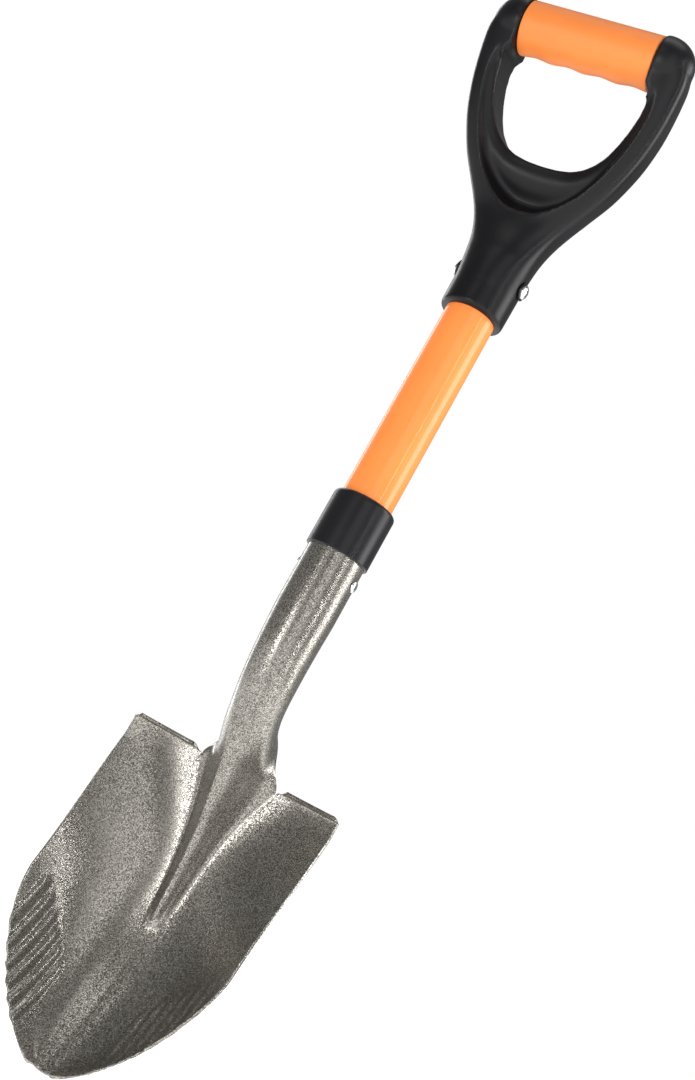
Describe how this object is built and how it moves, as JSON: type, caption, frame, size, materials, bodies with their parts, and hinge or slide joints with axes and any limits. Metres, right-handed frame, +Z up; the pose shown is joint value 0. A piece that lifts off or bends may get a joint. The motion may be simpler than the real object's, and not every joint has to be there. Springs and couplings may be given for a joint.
{
  "type": "short digging shovel",
  "caption": "Short round-point shovel with a D handle, a sleeved shaft and a dished pressed blade with ridged edges and turned foot steps.",
  "frame": {"origin": "middle of the grip's underside, where the tool hangs from a peg", "axes": "+Z up along the shaft from the blade to the handle, -Y out of the dished front of the blade, +X across the tool to the right seen from the front"},
  "size_m": [0.1408, 0.0947, 0.6782],
  "materials": {
    "coated_steel": "hammertone grey-brown powder coat on pressed steel",
    "shaft_coat": "glossy orange shaft",
    "soft_grip": "satin soft orange grip",
    "black_plastic": "satin black moulded plastic",
    "zinc": "bright zinc plated steel",
    "plug_nylon": "natural nylon"
  },
  "bodies": {
    "root": {"blade": "coated_steel", "shaft": "shaft_coat", "lower_core_plug": "plug_nylon", "upper_core_plug": "plug_nylon", "ferrule": "black_plastic", "handle_yoke": "black_plastic", "grip_sleeve": "soft_grip", "screw_washer_left": "zinc", "screw_washer_right": "zinc", "handle_screw_left": "zinc", "handle_screw_right": "zinc", "socket_rivet": "zinc"}
  },
  "joints": []
}
